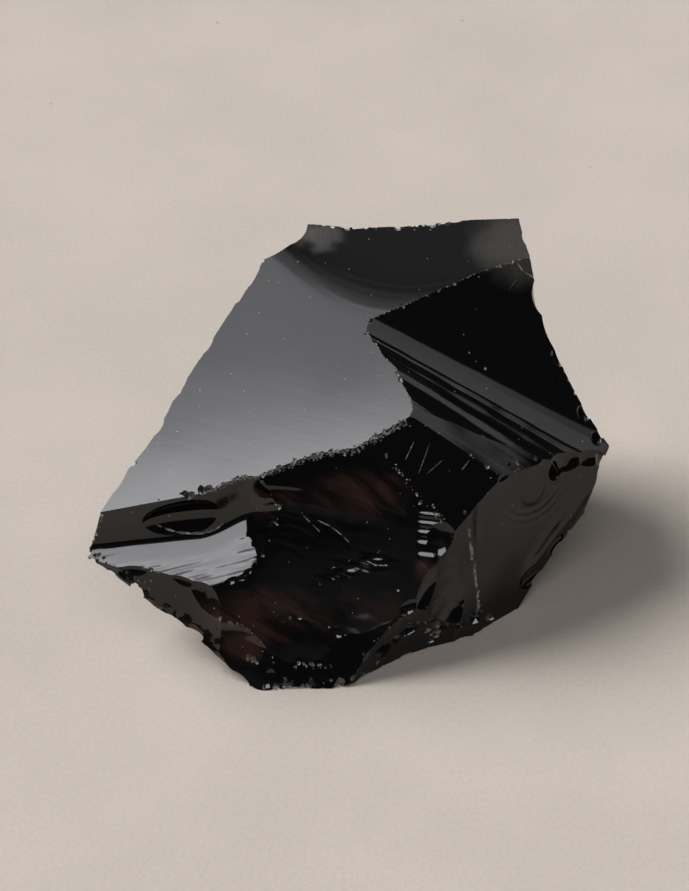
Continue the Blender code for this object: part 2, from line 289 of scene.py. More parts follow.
def heightOf(scar, s, q):
    bowS, bowQ = scar.get("bow", (0.0, 0.0))
    height = 0.5 * bowS * s * s + 0.5 * bowQ * q * q - stone["inset"]
    if "relief" in scar:
        height = height + scar["relief"](s, q)
    if "rings" in scar:
        height = height + rings(s, q, *scar["rings"])
    return height


def normalOf(scar, s, q, step=0.02):
    slopeS = (heightOf(scar, s + step, q) - heightOf(scar, s - step, q)) / (2.0 * step)
    slopeQ = (heightOf(scar, s, q + step) - heightOf(scar, s, q - step)) / (2.0 * step)
    local = np.stack([-slopeS, -slopeQ, np.ones_like(slopeS)], axis=-1)
    return (local / np.linalg.norm(local, axis=-1, keepdims=True)) @ axesOf(scar)


def isCurved(scar):
    return "bow" in scar or "relief" in scar or "rings" in scar


def makeCutter(scar, label):
    # closed block whose underside is the scar
    sFrom, sTo, qFrom, qTo = scar.get("reach", (-80.0, 80.0, -80.0, 80.0))
    cellS, cellQ = scar.get("cells", (stone["cell"],) * 2)
    countS = round((sTo - sFrom) / cellS) if isCurved(scar) else 1
    countQ = round((qTo - qFrom) / cellQ) if isCurved(scar) else 1
    s, q = np.meshgrid(np.linspace(sFrom, sTo, countS + 1), np.linspace(qFrom, qTo, countQ + 1),
                       indexing="ij")
    sheet = np.stack([s, q, heightOf(scar, s, q)], axis=-1).reshape(-1, 3)
    lid = np.array([(sFrom, qFrom, 70.0), (sTo, qFrom, 70.0), (sTo, qTo, 70.0), (sFrom, qTo, 70.0)])
    index = np.arange(len(sheet)).reshape(countS + 1, countQ + 1)
    a = len(sheet)
    faces = np.stack([index[:-1, :-1], index[:-1, 1:], index[1:, 1:], index[1:, :-1]],
                     axis=-1).reshape(-1, 4).tolist()
    faces.append([a, a + 1, a + 2, a + 3])
    faces.append([*index[:, 0].tolist(), a + 1, a])
    faces.append([*index[::-1, -1].tolist(), a + 3, a + 2])
    faces.append([*index[0, ::-1].tolist(), a, a + 3])
    faces.append([*index[-1].tolist(), a + 2, a + 1])
    points = np.vstack([sheet, lid]) @ axesOf(scar) + np.array(scar["at"]) + np.array(stone["seat"])
    return meshObject(scar["name"] + "Cutter", points * mm, faces, label)


def meshObject(name, points, faces, label=None):
    mesh = bpy.data.meshes.new(name)
    mesh.from_pydata(points.tolist(), [], faces)
    if label is not None:
        marks = mesh.attributes.new("scar", "INT", "FACE")
        marks.data.foreach_set("value", np.full(len(mesh.polygons), 1, dtype=np.int32) * label)
    piece = bpy.data.objects.new(name, mesh)
    bpy.context.scene.collection.objects.link(piece)
    return piece


def knap(piece, cutters):
    # takes every cutter away from the piece, then removes the cutters
    for cutter in cutters:
        cut = piece.modifiers.new(cutter.name, "BOOLEAN")
        cut.operation = "DIFFERENCE"
        cut.solver = "MANIFOLD"
        cut.object = cutter
    graph = bpy.context.evaluated_depsgraph_get()
    outcome = bpy.data.meshes.new_from_object(piece.evaluated_get(graph))
    piece.modifiers.clear()
    piece.data = outcome
    for cutter in cutters:
        bpy.data.objects.remove(cutter, do_unlink=True)


def cornerData(mesh):
    # point index, place in millimetres, scar and face normal of every face corner
    corners = np.empty(len(mesh.loops), dtype=np.int32)
    mesh.loops.foreach_get("vertex_index", corners)
    places = np.empty(len(mesh.vertices) * 3)
    mesh.vertices.foreach_get("co", places)
    places = places.reshape(-1, 3) / mm - np.array(stone["seat"])
    marks = np.empty(len(mesh.polygons), dtype=np.int32)
    mesh.attributes["scar"].data.foreach_get("value", marks)
    counts = np.empty(len(mesh.polygons), dtype=np.int32)
    mesh.polygons.foreach_get("loop_total", counts)
    normals = np.empty(len(mesh.polygons) * 3)
    mesh.polygons.foreach_get("normal", normals)
    return corners, places, np.repeat(marks, counts), np.repeat(normals.reshape(-1, 3), counts, axis=0)


# chips knocked off the edges: size in mm; broken ones have small flats, frost is how white they are
chipping = dict(
    scallop=dict(count=150, size=(1.2, 4.2), depth=0.10, lean=(0.90, 1.0)),
    nick=dict(count=760, size=(0.22, 1.0), spread=0.10, frostAndHighlight=0.4),
    crushed=dict(count=900, size=(0.20, 0.62), spread=0.30, drop=0.75, frostAndHighlight=0.95),
    rim=dict(count=260, size=(0.12, 0.3), spread=0.05, frostAndHighlight=0.8),    # fine line between top and gutter
    crushedStretch=(16.0, 45.0),                    # part of the front ridge that is crushed
    cleanEdges=(("top", "gutter"), ("wedge", "band"), ("band", "gutter"), ("wedge", "centre"),
                ("oval", "centre"), ("oval", "rightFace"), ("top", "shelf"), ("nose", "shelf")),
)

# single chips: middle, facing, half sizes along, across and deep, direction along
singleChips = (
    dict(at=(-22.4, -19.3, 18.9), facing=(0.05, -0.95, 0.3), half=(8.6, 3.9, 2.9), along=(1, 0.1, 0.07)),
    dict(at=(31.3, -8.1, 19.3), facing=(0.35, -0.7, 0.6), half=(1.0, 2.6, 0.9), along=(1, 0.6, 0)),
    dict(at=(31.8, 7.4, 29.6), facing=(0.75, -0.25, 0.6), half=(2.0, 1.0, 0.5), along=(0.37, -0.7, -0.6)),
    dict(at=(35.9, 0.6, 23.8), facing=(0.5, -0.45, 0.75), half=(1.5, 1.2, 0.6), along=(0.37, -0.7, -0.6)),
    dict(at=(37.8, -2.4, 21.6), facing=(0.65, -0.4, 0.65), half=(1.4, 1.2, 0.7), along=(0.37, -0.7, -0.6)),
    dict(at=(38.4, -4.6, 19.0), facing=(0.85, -0.45, 0.3), half=(1.9, 1.2, 0.6), along=(0, 0.5, -1)),
    dict(at=(28.2, -14.1, 4.0), facing=(0.65, -0.72, -0.1), half=(2.4, 1.6, 1.0), along=(0.7, 0.5, 0.4)),
    dict(at=(31.9, -10.3, 7.2), facing=(0.75, -0.65, 0.0), half=(1.9, 1.1, 0.8), along=(0.5, 0.5, 0.7)),
    dict(at=(6.1, -12.2, 26.3), facing=(0.13, -0.64, 0.76), half=(0.22, 0.5, 0.3), along=(1, 0, 0),
         broken=True, frostAndHighlight=0.8),
    dict(at=(33.5, -8.5, 10.0), facing=(0.5, -0.85, 0.2), half=(0.6, 0.5, 0.3), along=(1, 0, 0),
         broken=True, frostAndHighlight=0.5),
    dict(at=(30.5, -10.8, 7.9), facing=(0.5, -0.85, 0.2), half=(1.0, 0.35, 0.3), along=(1, 0.6, 0.3),
         broken=True, frostAndHighlight=0.4),
)

# runs of broken chips along a path over the surface; stretch draws them out along a direction
crushedRuns = (
    dict(path=((-23.4, -17.2, 22.9), (-22.3, -17.0, 23.1)), count=5, size=(1.0, 1.9), spread=0.25,
         frostAndHighlight=0.2),
    dict(path=((-20.9, -16.7, 23.2), (-19.2, -16.4, 23.5)), count=7, size=(0.9, 1.8), spread=0.25,
         frostAndHighlight=0.25),
    dict(path=((7.8, -13.4, 25.0), (10.0, -15.4, 22.4)), count=40, size=(0.2, 0.55), spread=0.25, frostAndHighlight=0.8),
    dict(path=((10.0, -15.4, 22.4), (11.9, -16.9, 20.8), (14.2, -18.9, 19.4)), count=130, size=(0.25, 0.8),
         spread=0.42, frostAndHighlight=0.9),
    dict(path=((17.5, -17.4, 19.9), (18.5, -18.2, 15.1), (19.2, -18.7, 10.6), (19.7, -19.8, 6.4),
               (20.1, -21.0, 2.6)), count=130, size=(0.35, 0.9), spread=0.12, frostAndHighlight=0.9),
    dict(path=((23.6, -11.0, 23.2), (25.4, -9.8, 23.2)), count=24, size=(0.4, 1.2), spread=0.35, frostAndHighlight=0.7),
    dict(path=((-37.6, -19.2, 18.2), (-37.4, -19.9, 15.4), (-36.6, -21.2, 14.0)), count=24, size=(0.8, 2.2),
         spread=0.35, frostAndHighlight=0.2),
    dict(path=((-36.2, -20.6, 14.4), (-32.6, -22.4, 12.4), (-29.6, -23.1, 11.1)), count=50, size=(0.35, 0.9),
         spread=0.15, frostAndHighlight=0.7),
    dict(path=((-29.6, -23.1, 11.1), (-24.1, -24.6, 11.6)), count=16, size=(0.25, 0.7), spread=0.2,
         frostAndHighlight=0.6),
    dict(path=((12.3, -25.3, 4.8), (13.0, -25.2, 1.4)), count=40, size=(0.4, 1.4), spread=0.5, frostAndHighlight=0.8),
    dict(path=((21.0, -20.4, 1.4), (22.4, -19.6, 0.8)), count=8, size=(0.6, 1.5), spread=0.3, frostAndHighlight=0.5),
    dict(path=((-14.3, -30.6, 3.4), (-12.9, -31.3, 2.8)), count=14, size=(0.4, 1.2), spread=0.25, frostAndHighlight=0.8),
    dict(path=((-11.0, -33.9, 0.3), (-4.0, -33.4, 0.4), (1.0, -33.4, 0.3), (6.5, -29.8, 0.4)), count=46,
         size=(0.8, 2.4), spread=0.45, frostAndHighlight=0.35),
    dict(path=((-7.5, -32.0, 2.6), (-5.0, -31.8, 3.0), (-2.1, -32.1, 2.4)), count=34, size=(0.3, 1.2),
         spread=0.25, frostAndHighlight=0.8),
    dict(path=((-34.0, -21.8, 12.2), (-27.6, -24.3, 8.4), (-21.5, -27.6, 4.4)), count=16, size=(1.4, 3.6),
         spread=0.35, frostAndHighlight=0.06),
    dict(path=((5.2, -29.3, 3.4), (10.7, -26.0, 5.3), (14.1, -24.8, 4.6)), count=16, size=(1.2, 3.4),
         spread=0.35, frostAndHighlight=0.1),
    dict(path=((14.8, -24.6, 3.4), (20.2, -21.2, 2.4)), count=9, size=(1.2, 3.2), spread=0.3, frostAndHighlight=0.06),
    dict(path=((31.0, -8.6, 20.6), (31.9, -7.9, 18.4)), count=8, size=(0.5, 1.3), spread=0.3, frostAndHighlight=0.2),
    dict(path=((-35.3, -18.8, 20.9), (-36.3, -19.0, 17.4), (-36.8, -19.4, 15.6)), count=34, size=(0.3, 0.9),
         spread=0.25, frostAndHighlight=0.45),
    # pale grains and bruises on the fluted scar
    dict(path=((21.0, 5.0, 29.0), (21.2, 5.0, 29.0)), count=2, size=(0.45, 0.5), spread=0.05, frostAndHighlight=1.0),
    dict(path=((31.2, 4.1, 26.9), (31.5, 4.0, 26.8)), count=3, size=(0.25, 0.4), spread=0.12, frostAndHighlight=0.8),
    dict(path=((18.6, 6.8, 30.6), (18.8, 6.8, 30.6)), count=1, size=(0.3, 0.3), spread=0.01, frostAndHighlight=0.8),
    dict(path=((30.9, 8.6, 30.2), (32.6, 6.6, 28.5)), count=9, size=(0.5, 1.3), spread=0.3, frostAndHighlight=0.3),
    dict(path=((33.7, 4.9, 26.9), (36.3, 0.4, 23.6)), count=14, size=(0.4, 1.1), spread=0.25, frostAndHighlight=0.3),
    # short strokes on the hollow front and below the wedge's corner
    dict(path=((-3.6, -22.7, 12.3), (0.1, -21.8, 12.9), (5.9, -19.9, 15.5)), count=46, size=(0.10, 0.26),
         spread=0.55, frostAndHighlight=0.8, along=(0.8, 0.35, 0.45), stretch=4.5),
    dict(path=((-10.3, -21.6, 14.6), (-8.1, -21.7, 13.9)), count=7, size=(0.10, 0.2), spread=0.35, frostAndHighlight=0.7,
         along=(1.0, 0.0, -0.15), stretch=5.0),
    dict(path=((5.9, -15.8, 20.8), (11.0, -16.9, 20.5)), count=16, size=(0.08, 0.18), spread=0.4, frostAndHighlight=0.5,
         along=(1.0, -0.1, -0.05), stretch=6.0),
    dict(path=((-9.0, -18.5, 18.0), (-2.0, -20.5, 15.5), (5.0, -21.0, 14.0)), count=40, size=(0.08, 0.2),
         spread=1.3, frostAndHighlight=0.5, along=(0.8, -0.2, -0.4), stretch=1.6),
    # rough edge along the back of the top
    dict(path=((-1.5, 28.6, 38.2), (16.0, 28.4, 39.3)), count=80, size=(0.5, 1.5), spread=0.25, frostAndHighlight=1.0),
)

# scratches and painted highlight lines, all cut in as pale frosted lines: start, end, width, facing
rimFacing, cornerFacing, arcFacing = (0.1, -0.75, 0.65), (0.12, -0.59, 0.80), (0.1, -0.75, 0.64)
scratchesAndHighlights = (
    dict(start=(10.3, -9.95, 27.4), end=(8.7, -12.8, 25.4)),
    dict(start=(12.7, -9.7, 27.2), end=(10.6, -14.3, 23.8)),
    dict(start=(14.9, -11.4, 25.4), end=(11.6, -14.0, 23.8)),
    dict(start=(18.4, -11.3, 24.9), end=(17.1, -12.8, 23.8)),
    # painted highlight: pale lines along the bowl's lower rim
    dict(start=(-28.0, -17.6, 17.85), end=(-26.2, -17.6, 16.75), width=0.14, facing=rimFacing),
    dict(start=(-26.8, -17.6, 17.05), end=(-24.5, -17.72, 16.2), width=0.22, facing=rimFacing),
    dict(start=(-25.0, -17.7, 16.35), end=(-22.2, -17.8, 15.93), width=0.27, facing=rimFacing),
    dict(start=(-23.0, -17.8, 15.97), end=(-20.2, -17.55, 15.91), width=0.29, facing=rimFacing),
    dict(start=(-21.0, -17.7, 15.9), end=(-18.6, -17.0, 16.32), width=0.26, facing=(0.12, -0.75, 0.65)),
    dict(start=(-19.2, -17.25, 16.1), end=(-17.4, -16.35, 17.2), width=0.16, facing=(0.2, -0.75, 0.6)),
    # cracked corner at the back
    dict(start=(26.1, 19.1, 38.6), end=(27.1, 17.95, 37.5), width=0.14, facing=cornerFacing),
    dict(start=(27.0, 18.05, 37.6), end=(29.6, 17.0, 36.4), width=0.17, facing=cornerFacing),
    dict(start=(27.0, 18.0, 37.5), end=(24.3, 14.5, 35.4), width=0.07, facing=cornerFacing),
    # painted highlights: pale lines on the crests of the thin ripples on the hollow front
    dict(start=(-12.6, -16.9, 18.3), end=(-10.6, -17.8, 18.3), width=0.10, facing=(-0.3, -0.5, 0.7)),
    dict(start=(-10.8, -17.8, 18.4), end=(-8.7, -18.4, 18.2), width=0.13, facing=arcFacing),
    dict(start=(-6.3, -17.2, 19.3), end=(-4.8, -17.95, 18.15), width=0.10, facing=arcFacing),
    dict(start=(-4.9, -17.9, 18.2), end=(-3.5, -18.6, 16.9), width=0.10, facing=arcFacing),
    dict(start=(-4.2, -17.5, 18.6), end=(-1.7, -18.2, 17.5), width=0.13, facing=(0.05, -0.75, 0.64)),
    dict(start=(-1.9, -18.15, 17.6), end=(-0.2, -18.9, 16.5), width=0.17, facing=(0.05, -0.75, 0.64)),
    dict(start=(-0.3, -18.85, 16.6), end=(0.8, -19.4, 15.5), width=0.13, facing=(0.05, -0.75, 0.64)),
    # crack down the edge of the right face
    dict(start=(17.4, -17.3, 20.4), end=(18.6, -18.25, 14.6), width=0.34, facing=(0.4, -0.8, 0.45)),
    dict(start=(18.5, -18.2, 15.5), end=(19.3, -18.8, 10.0), width=0.4, facing=(0.5, -0.8, 0.3)),
    dict(start=(19.2, -18.7, 10.6), end=(19.8, -19.9, 6.0), width=0.36, facing=(0.5, -0.8, 0.3)),
)


def creases(mesh):
    # every outward edge between two scars, with its two outward directions
    shape = bmesh.new()
    shape.from_mesh(mesh)
    marks = shape.faces.layers.int["scar"]
    found = []
    for edge in shape.edges:
        if len(edge.link_faces) != 2 or not edge.is_convex:
            continue
        one, other = edge.link_faces
        if one[marks] == other[marks] or edge.calc_face_angle(0.0) < 0.3:
            continue
        middle = (edge.verts[0].co + edge.verts[1].co) / 2 / mm - Vector(stone["seat"])
        found.append(dict(middle=middle, length=edge.calc_length() / mm, one=one.normal.copy(),
                          other=other.normal.copy(), scars={one[marks], other[marks]}))
    shape.free()
    return found


def chipAt(at, facing, half, along, broken=False, frostAndHighlight=0.0):
    # squashed ball sunk into the surface; rows turn a place into the ball's own measure
    facing = Vector(facing).normalized()
    along = Vector(along)
    along = (along - facing * along.dot(facing)).normalized()
    axes = np.array((along, facing.cross(along), facing))
    return dict(middle=np.array(at, dtype=float), axes=axes, half=np.array(half, dtype=float),
                broken=broken, frostAndHighlight=frostAndHighlight)


def capAt(at, facing, width, depth, stretch, along):
    # shallow round scar of that width and depth
    radius = (width * width / 4.0 + depth * depth) / (2.0 * depth)
    middle = Vector(at) + Vector(facing).normalized() * (radius - depth)
    return chipAt(middle, facing, (radius * stretch, radius, radius), along)


def brokenChip(place, facing, size, frostAndHighlight, pick, along=None, stretch=1.0):
    if along is None:
        along = Vector(pick.normal(size=3))
    else:
        along = Vector(along) + Vector(pick.normal(0.0, 0.15, 3))
    half = size * 0.5 * np.array((pick.uniform(1.0, 1.6), pick.uniform(0.7, 1.1), pick.uniform(0.5, 0.8)))
    half[0] *= stretch
    return chipAt(place, facing, half, along, broken=True, frostAndHighlight=frostAndHighlight * pick.uniform(0.4, 1.3))


def someEdges(edges, wanted, count, pick):
    chosen = [edge for edge in edges if wanted(edge)]
    lengths = np.array([edge["length"] for edge in chosen])
    return [chosen[number] for number in pick.choice(len(chosen), size=count, p=lengths / lengths.sum())]


def scallops(edges, wanted, pick, count, size, depth, lean):
    # flake scars that run from the edge down the steeper of its two faces
    chips = []
    for edge in someEdges(edges, wanted, count, pick):
        share = pick.uniform(*lean)
        one, other = sorted((edge["one"], edge["other"]), key=lambda normal: normal.z)
        facing = (one * share + other * (1.0 - share)).normalized()
        width = size[0] * (size[1] / size[0]) ** pick.random() ** 1.6
        place = edge["middle"] + Vector(pick.normal(0.0, 0.10 * width, 3))
        chips.append(capAt(place, facing, width, width * depth * pick.uniform(0.6, 1.3),
                           pick.uniform(1.0, 1.7), one.cross(other)))
    return chips


def brokenEdges(edges, wanted, pick, count, size, spread, frostAndHighlight, drop=0.0):
    # small broken chips along the edges; drop spreads them down the steeper face
    chips = []
    for edge in someEdges(edges, wanted, count, pick):
        width = size[0] * (size[1] / size[0]) ** pick.random() ** 1.4
        steep = edge["one"] if edge["one"].z < edge["other"].z else edge["other"]
        down = (Vector((0.0, 0.0, -1.0)) + steep * steep.z).normalized()
        place = edge["middle"] + down * drop * pick.random() ** 1.5
        place += Vector(pick.normal(0.0, spread * width + 0.04, 3))
        chips.append(brokenChip(place, edge["one"] + edge["other"], width, frostAndHighlight, pick))
    return chips


def brokenRun(pick, path, count, size, spread, frostAndHighlight, along=None, stretch=1.0):
    facing = (0.05, -0.75, 0.6)
    path = [Vector(point) for point in path]
    lengths = np.array([(end - start).length for start, end in zip(path, path[1:])])
    chips = []
    for _ in range(count):
        piece = pick.choice(len(lengths), p=lengths / lengths.sum())
        place = path[piece].lerp(path[piece + 1], pick.random()) + Vector(pick.normal(0.0, spread, 3))
        width = size[0] * (size[1] / size[0]) ** pick.random() ** 1.4
        chips.append(brokenChip(place, facing, width, frostAndHighlight, pick, along, stretch))
    return chips


# pale frosted line cut into the surface: a scratch, or a painted highlight line
def scratchOrHighlightAt(start, end, width=0.07, facing=(0.135, -0.636, 0.76)):
    start, end = Vector(start), Vector(end)
    half = ((end - start).length / 2, width, 0.05 + 0.9 * width)
    return chipAt((start + end) / 2, facing, half, end - start, broken=True, frostAndHighlight=0.9)


def apart(chips):
    # groups in which no two chips touch, so that each group can be one cutter
    groups = []

    def clear(one, other):
        gap = np.linalg.norm(one["middle"] - other["middle"])
        return gap > 1.05 * (one["half"].max() + other["half"].max())
    for number, chip in enumerate(chips):
        for group in groups:
            if all(clear(chip, chips[i]) for i in group):
                group.append(number)
                break
        else:
            groups.append([number])
    return groups


def ball(subdivisions):
    shape = bmesh.new()
    bmesh.ops.create_icosphere(shape, subdivisions=subdivisions, radius=1.0)
    points = np.array([vert.co for vert in shape.verts])
    faces = np.array([[vert.index for vert in face.verts] for face in shape.faces])
    shape.free()
    return points, faces


def chipCutters(chips):
    large, small, rough = ball(4), ball(3), ball(1)
    pick = np.random.default_rng(stone["seed"] + 1)
    cutters = []
    for group in apart(chips):
        points, faces, labels, start = [], [], [], 0
        for number in group:
            chip = chips[number]
            ballPoints, ballFaces = large if chip["half"].max() > 3.0 else small
            if chip["broken"]:
                ballPoints, ballFaces = rough
                ballPoints = ballPoints * pick.uniform(0.75, 1.15, (len(ballPoints), 1))
            ballPoints = (ballPoints * chip["half"]) @ chip["axes"] + chip["middle"]
            points.append(ballPoints + np.array(stone["seat"]))
            faces.append(ballFaces + start)
            labels.append(np.full(len(ballFaces), len(scars) + number, dtype=np.int32))
            start += len(ballPoints)
        cutters.append(meshObject("chips", np.vstack(points) * mm, np.vstack(faces).tolist(),
                                  np.concatenate(labels)))
    return cutters


def chipNormals(chip, places, number):
    local = ((places - chip["middle"]) @ chip["axes"].T) / chip["half"] ** 2
    local = -local / np.linalg.norm(local, axis=1, keepdims=True)
    waver = [unevenness(places @ chip["axes"][i] * 2.2 + number * 7.3, number * 3.1 + i) for i in range(3)]
    local = local + 0.10 * np.stack(waver, axis=1)
    return (local / np.linalg.norm(local, axis=1, keepdims=True)) @ chip["axes"]


def shadeFromScars(mesh, chips):
    # every corner takes the exact normal of the scar or chip its face lies on
    corners, places, marks, normals = cornerData(mesh)
    for label in np.unique(marks):
        chosen = marks == label
        if label >= len(scars) and chips[label - len(scars)]["broken"]:
            continue
        if label >= len(scars):
            normals[chosen] = chipNormals(chips[label - len(scars)], places[corners[chosen]], int(label))
            continue
        scar = scars[label]
        local = (places[corners[chosen]] - np.array(scar["at"])) @ axesOf(scar).T
        normals[chosen] = normalOf(scar, local[:, 0], local[:, 1])
    mesh.shade_smooth()
    mesh.normals_split_custom_set(normals.tolist())
    frostAndHighlight = np.array([0.0] * len(scars) + [chip["frostAndHighlight"] for chip in chips], dtype=np.float32)
    marks = np.empty(len(mesh.polygons), dtype=np.int32)
    mesh.attributes["scar"].data.foreach_get("value", marks)
    mesh.attributes.new("frostAndHighlight", "FLOAT", "FACE").data.foreach_set("value", np.clip(frostAndHighlight[marks], 0.0, 1.0))
    mesh.attributes.remove(mesh.attributes["scar"])


def makeStone():
    size, middle = stone["block"]
    corners = np.array([(x, y, z) for x in (-0.5, 0.5) for y in (-0.5, 0.5) for z in (-0.5, 0.5)])
    faces = [[0, 1, 3, 2], [4, 6, 7, 5], [0, 4, 5, 1], [2, 3, 7, 6], [0, 2, 6, 4], [1, 5, 7, 3]]
    piece = meshObject("obsidianChunk", (corners * np.array(size) + np.array(middle)) * mm, faces, 0)
    knap(piece, [makeCutter(scar, number) for number, scar in enumerate(scars)])
    print("scars cut:", len(piece.data.polygons), "faces")
    return piece


def chipEdges(piece):
    number = {scar["name"]: i for i, scar in enumerate(scars)}
    clean = [{number[a], number[b]} for a, b in chipping["cleanEdges"]]
    top = scars[number["top"]]
    start, end = chipping["crushedStretch"]

    def isCrushed(edge):
        along = (np.array(edge["middle"]) - np.array(top["at"])) @ axesOf(top)[0]
        inFront = number["gutter"] not in edge["scars"] and edge["middle"].y < 0
        return number["top"] in edge["scars"] and inFront and start < along < end

    def isScalloped(edge):
        return edge["scars"] not in clean and not isCrushed(edge)
    edges = creases(piece.data)
    pick = np.random.default_rng(stone["seed"])
    chips = [chipAt(**chip) for chip in singleChips] + [scratchOrHighlightAt(**scratch) for scratch in scratchesAndHighlights]
    for run in crushedRuns:
        chips += brokenRun(pick, **run)
    chips += scallops(edges, isScalloped, pick, **chipping["scallop"])
    chips += brokenEdges(edges, lambda edge: True, pick, **chipping["nick"])
    chips += brokenEdges(edges, isCrushed, pick, **chipping["crushed"])
    rim = {number["top"], number["gutter"]}
    chips += brokenEdges(edges, lambda edge: edge["scars"] == rim, pick, **chipping["rim"])
    knap(piece, chipCutters(chips))
    shadeFromScars(piece.data, chips)
    triangles = sum(len(face.vertices) - 2 for face in piece.data.polygons)
    print("edges chipped:", len(chips), "chips,", triangles, "triangles")


glass = dict(
    colour=(0.0035, 0.0034, 0.0036),
    warmColour=(0.048, 0.024, 0.020),        # red-brown streaks in the glass
    frostAndHighlightColour=(0.44, 0.42, 0.39),          # crushed glass; also the painted highlight lines and the painted sheen of worn places
    dustColour=(0.40, 0.38, 0.36),
    roughness=(0.045, 0.10),
    frostRoughness=0.5,
    ior=1.5,
    streaks=(0.84, -0.28, -0.46),            # direction that the streaks run in
    # where the glass is streaked: middle and reach in mm, share
    warm=(
        dict(at=(-32.5, -18.5, 18.9), reach=(5.5, 3.0, 3.6), share=0.55),
        dict(at=(-12.0, -15.0, 20.5), reach=(7.5, 3.0, 3.4), share=0.75),
        dict(at=(2.5, -15.0, 21.5), reach=(9.5, 5.0, 4.6), share=0.9),
        dict(at=(-11.0, -27.5, 8.5), reach=(12.5, 6.0, 5.2), share=0.75),
        dict(at=(-15.0, -30.2, 4.2), reach=(4.0, 4.0, 3.4), share=0.8),
        dict(at=(11.6, -21.9, 13.0), reach=(2.6, 3.0, 1.8), share=1.0),
        dict(at=(4.5, -25.5, 8.0), reach=(8.0, 5.0, 3.5), share=0.35),
    ),
    # where the surface is dull with wear and painted paler, a painted sheen
    wornAndSheen=(
        dict(at=(26.0, 23.0, 39.5), reach=(8.5, 10.0, 7.0), share=0.13),
        dict(at=(-4.2, 26.8, 38.0), reach=(4.2, 4.4, 4.0), share=0.22),
    ),
)


def newMaterial(name):
    material = bpy.data.materials.new(name)
    material.use_nodes = True
    return material, material.node_tree.nodes["Principled BSDF"]


def addNode(material, kind, links=(), **settings):
    # links: (input, output that feeds it); a number goes straight into its socket
    node = material.node_tree.nodes.new("ShaderNode" + kind)
    for name, value in settings.items():
        setattr(node, name, value)
    for socket, source in links:
        if isinstance(source, bpy.types.NodeSocket):
            material.node_tree.links.new(source, node.inputs[socket])
        else:
            node.inputs[socket].default_value = source
    return node


def combine(material, operation, first, second):
    return addNode(material, "Math", [(0, first), (1, second)], operation=operation).outputs["Value"]


def combineVectors(material, operation, *sources):
    return addNode(material, "VectorMath", enumerate(sources), operation=operation).outputs["Vector"]


def noise(material, place, scale, detail, roughness=0.5, distortion=0.0):
    links = [("Vector", place), ("Scale", scale), ("Detail", detail), ("Roughness", roughness),
             ("Distortion", distortion)]
    return addNode(material, "TexNoise", links)


def ramp(material, value, start, end, low=0.0, high=1.0):
    links = [("Value", value), ("From Min", start), ("From Max", end), ("To Min", low), ("To Max", high)]
    return addNode(material, "MapRange", links, interpolation_type="SMOOTHSTEP").outputs["Result"]


def blend(material, share, first, second):
    links = [("Factor", share), (6, first), (7, second)]
    return addNode(material, "Mix", links, data_type="RGBA").outputs[2]


def patches(material, place, spots):
    # soft patches round the given places, strongest where they overlap
    total = None
    for spot in spots:
        middle = ((np.array(spot["at"]) + np.array(stone["seat"])) * mm).tolist()
        reach = [mm * size for size in spot["reach"]]
        away = combineVectors(material, "SUBTRACT", place, middle)
        away = combineVectors(material, "DIVIDE", away, reach)
        far = addNode(material, "VectorMath", [(0, away)], operation="LENGTH")
        patch = ramp(material, far.outputs["Value"], 1.05, 0.3, 0.0, spot["share"])
        total = patch if total is None else combine(material, "MAXIMUM", total, patch)
    return total


